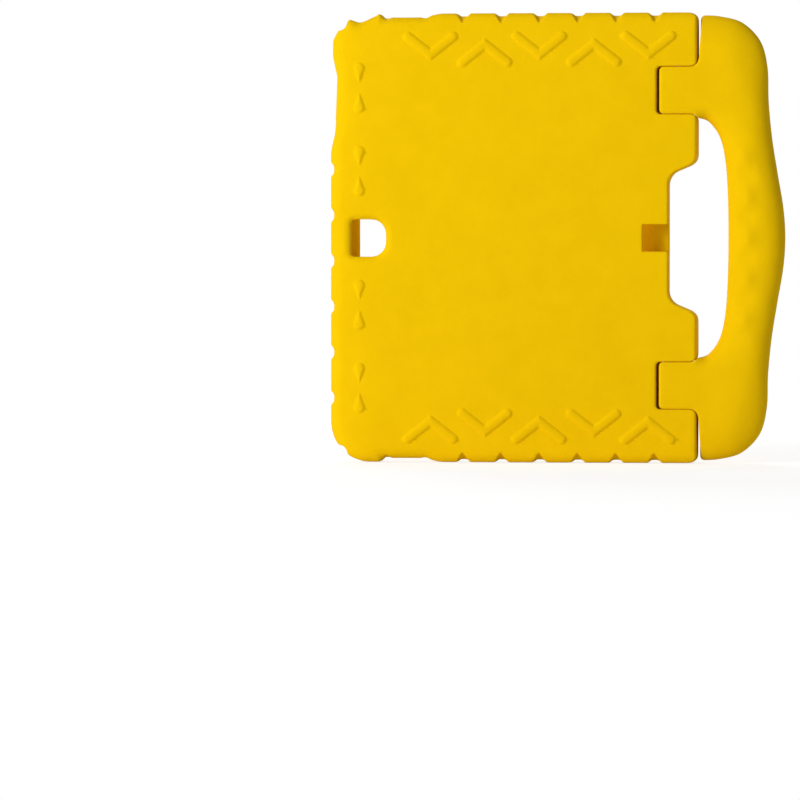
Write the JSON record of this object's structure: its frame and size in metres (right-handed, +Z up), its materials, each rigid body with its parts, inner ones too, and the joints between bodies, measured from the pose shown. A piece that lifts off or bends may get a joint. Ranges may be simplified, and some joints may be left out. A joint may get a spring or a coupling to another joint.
{
  "type": "shockproof tablet case",
  "caption": "Thick foam tablet case with a windowed front, raised ribs behind and a side carry handle that folds back as a stand.",
  "frame": {"origin": "middle of the base, at the height of the lower edge that the case stands on", "axes": "+Z up along the tablet's long side, -Y out of the open front with the screen window, -X towards the carry handle"},
  "size_m": [0.2624, 0.0246, 0.259],
  "materials": {
    "yellow_foam": "soft matte",
    "pin_steel": "ground"
  },
  "bodies": {
    "case": {"case_body": "yellow_foam", "hinge_pin_lower": "pin_steel", "hinge_pin_upper": "pin_steel"},
    "handle": {"handle": "yellow_foam"}
  },
  "joints": [
    {"name": "handle_hinge", "type": "hinge", "parent": "case", "child": "handle", "pos_m": [-0.06963, 0.006, 0.1295], "axis": [0, 0, -1], "range_deg": [0, 120]}
  ]
}
